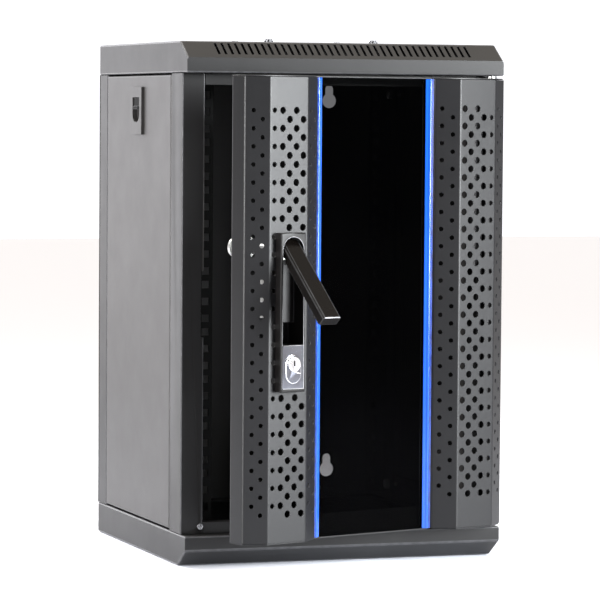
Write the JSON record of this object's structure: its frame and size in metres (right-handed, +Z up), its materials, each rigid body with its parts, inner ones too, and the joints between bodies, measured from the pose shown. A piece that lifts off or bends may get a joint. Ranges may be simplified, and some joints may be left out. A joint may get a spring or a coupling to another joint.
{
  "type": "wall-mount network rack cabinet",
  "caption": "Small black wall cabinet for 10-inch network equipment, with a tinted glass door between perforated bevelled columns, a swing handle and removable sides.",
  "frame": {"origin": "centre of the underside of the floor tray", "axes": "+X to the right of someone facing the front, +Y to the back, +Z up"},
  "size_m": [0.32, 0.4631, 0.4898],
  "materials": {
    "frame_powder": "fine-textured black powder coat",
    "panel_powder": "fine-textured black powder coat",
    "rail_powder": "black powder coat",
    "door_powder": "satin black powder coat",
    "tinted_glass": "dark tinted safety glass",
    "blue_trim": "bright blue, glossy",
    "black_plastic": "moulded black plastic, satin",
    "black_screw": "black oxide",
    "zinc": "zinc plated",
    "chrome": "polished"
  },
  "bodies": {
    "cabinet": {"roof_tray": "frame_powder", "floor_tray": "frame_powder", "front_post_left": "frame_powder", "front_post_right": "frame_powder", "rear_post_left": "frame_powder", "rear_post_right": "frame_powder", "front_beam_top": "frame_powder", "front_beam_bottom": "frame_powder", "rear_panel": "panel_powder", "roof_entry_cover": "panel_powder", "floor_entry_cover": "panel_powder", "rack_rail_front_left": "rail_powder", "rack_rail_front_right": "rail_powder", "rack_rail_rear_left": "rail_powder", "rack_rail_rear_right": "rail_powder", "depth_bar_bottom_left": "rail_powder", "depth_bar_bottom_right": "rail_powder", "depth_bar_top_left": "rail_powder", "depth_bar_top_right": "rail_powder", "fan_frame": "black_plastic", "fan_screw_1": "black_screw", "fan_screw_2": "black_screw", "fan_screw_3": "black_screw", "fan_screw_4": "black_screw", "hinge_pin_bottom": "zinc", "hinge_pin_top": "zinc", "frame_screw_left": "zinc", "frame_screw_right": "zinc", "rail_screw_front_bottom_left": "zinc", "rail_screw_front_bottom_right": "zinc", "rail_screw_front_top_left": "zinc", "rail_screw_front_top_right": "zinc", "rail_screw_rear_bottom_left": "zinc", "rail_screw_rear_bottom_right": "zinc", "rail_screw_rear_top_left": "zinc", "rail_screw_rear_top_right": "zinc"},
    "door": {"door_column_left": "door_powder", "door_column_right": "door_powder", "accent_strip_left": "blue_trim", "accent_strip_right": "blue_trim", "door_glass": "tinted_glass", "door_rail_bottom": "door_powder", "door_rail_top": "door_powder", "handle_housing": "black_plastic", "lock_plate": "chrome", "housing_clamp": "zinc"},
    "handle": {"handle_hub": "zinc", "lock_cam": "zinc", "cam_nut": "zinc"},
    "lever": {"handle_lever": "black_plastic", "lever_pin": "zinc"},
    "key": {"key_cylinder": "chrome"},
    "side_panel_left_body": {"side_panel_left": "panel_powder", "latch_bezel_left": "black_plastic"},
    "side_panel_right_body": {"side_panel_right": "panel_powder", "latch_bezel_right": "black_plastic"},
    "latch_left": {"latch_slider_left": "black_plastic"},
    "latch_right": {"latch_slider_right": "black_plastic"},
    "fan": {"fan_rotor": "black_plastic"}
  },
  "joints": [
    {"name": "door_hinge", "type": "hinge", "parent": "cabinet", "child": "door", "pos_m": [0.146, -0.1435, 0.243], "axis": [0, 0, 1], "range_deg": [-18, 94]},
    {"name": "handle_swing", "type": "hinge", "parent": "door", "child": "handle", "pos_m": [-0.08873, -0.25079, 0.2978], "axis": [0.309, -0.9511, 0], "range_deg": [0, 90]},
    {"name": "lever_lift", "type": "hinge", "parent": "handle", "child": "lever", "pos_m": [-0.08873, -0.25079, 0.2978], "axis": [-0.9511, -0.309, 0], "range_deg": [-44, 3]},
    {"name": "key_turn", "type": "hinge", "parent": "door", "child": "key", "pos_m": [-0.08741, -0.25488, 0.1953], "axis": [0.309, -0.9511, 0], "range_deg": [0, 90]},
    {"name": "side_panel_left_tilt", "type": "hinge", "parent": "cabinet", "child": "side_panel_left_body", "pos_m": [-0.156, 0.01045, 0.0312], "axis": [0, -1, 0], "range_deg": [0, 12]},
    {"name": "side_panel_right_tilt", "type": "hinge", "parent": "cabinet", "child": "side_panel_right_body", "pos_m": [0.156, 0.01045, 0.0312], "axis": [0, 1, 0], "range_deg": [0, 12]},
    {"name": "latch_left_slide", "type": "slide", "parent": "side_panel_left_body", "child": "latch_left", "axis": [0, 0, -1], "range_m": [0, 0.006], "stiffness_N_per_m": 200, "springref_m": -0.002},
    {"name": "latch_right_slide", "type": "slide", "parent": "side_panel_right_body", "child": "latch_right", "axis": [0, 0, -1], "range_m": [0, 0.006], "stiffness_N_per_m": 200, "springref_m": -0.002},
    {"name": "fan_spin", "type": "hinge", "parent": "cabinet", "child": "fan", "pos_m": [0, -0.0205, 0.473], "axis": [0, 0, 1], "continuous": true}
  ]
}
